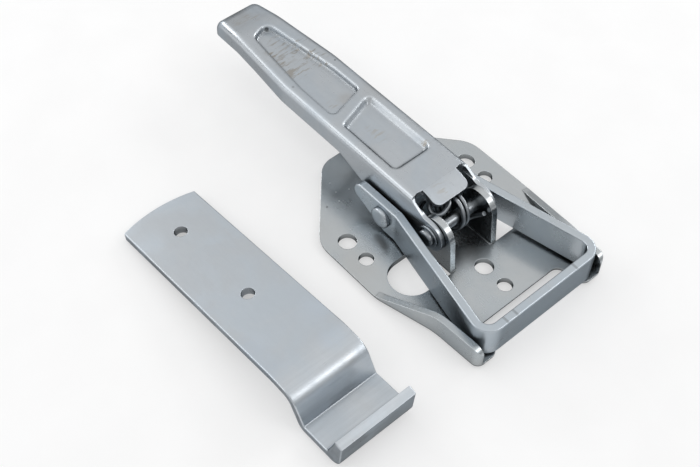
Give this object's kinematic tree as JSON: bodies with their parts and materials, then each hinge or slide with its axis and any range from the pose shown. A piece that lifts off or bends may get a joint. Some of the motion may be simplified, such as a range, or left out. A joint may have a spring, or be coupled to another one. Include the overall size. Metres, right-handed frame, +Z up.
{
  "type": "trailer drop side latch",
  "caption": "Over-centre latch for a trailer's drop side: a pressed lever on a flat bolted base pulls a bent-bar loop, with the separate bent hook plate that the loop catches.",
  "frame": {"origin": "midway between the two large rear bolt holes, on the underside of the base plate", "axes": "+X along the latch from the lever's tip to the loop's front bar, +Y across it to the side away from the hook plate, +Z up out of the mounting face"},
  "size_m": [0.2105, 0.1554, 0.033],
  "materials": {
    "zinc_plated_pressing": "satin",
    "zinc_plated_bar": "satin",
    "zinc_plated_fastener": "satin",
    "spring_wire": "satin"
  },
  "bodies": {
    "base": {"base_plate": "zinc_plated_pressing", "pivot_pin": "zinc_plated_fastener", "pivot_washer": "zinc_plated_fastener", "torsion_spring": "spring_wire", "hook_plate": "zinc_plated_bar"},
    "lever": {"lever": "zinc_plated_pressing", "left_rivet": "zinc_plated_fastener", "right_rivet": "zinc_plated_fastener"},
    "loop": {"pull_loop": "zinc_plated_bar"}
  },
  "joints": [
    {"name": "lever_hinge", "type": "hinge", "parent": "base", "child": "lever", "pos_m": [0.0292, 0, 0.0192], "axis": [0, 1, 0], "range_deg": [0, 140], "deforming": ["torsion_spring"]},
    {"name": "loop_hinge", "type": "hinge", "parent": "lever", "child": "loop", "pos_m": [0.0051, 0, 0.013], "axis": [0, 1, 0], "range_deg": [-140, 0]}
  ],
  "couplings": [
    {"joint": "loop_hinge", "follows": "lever_hinge", "ratio": -1}
  ]
}
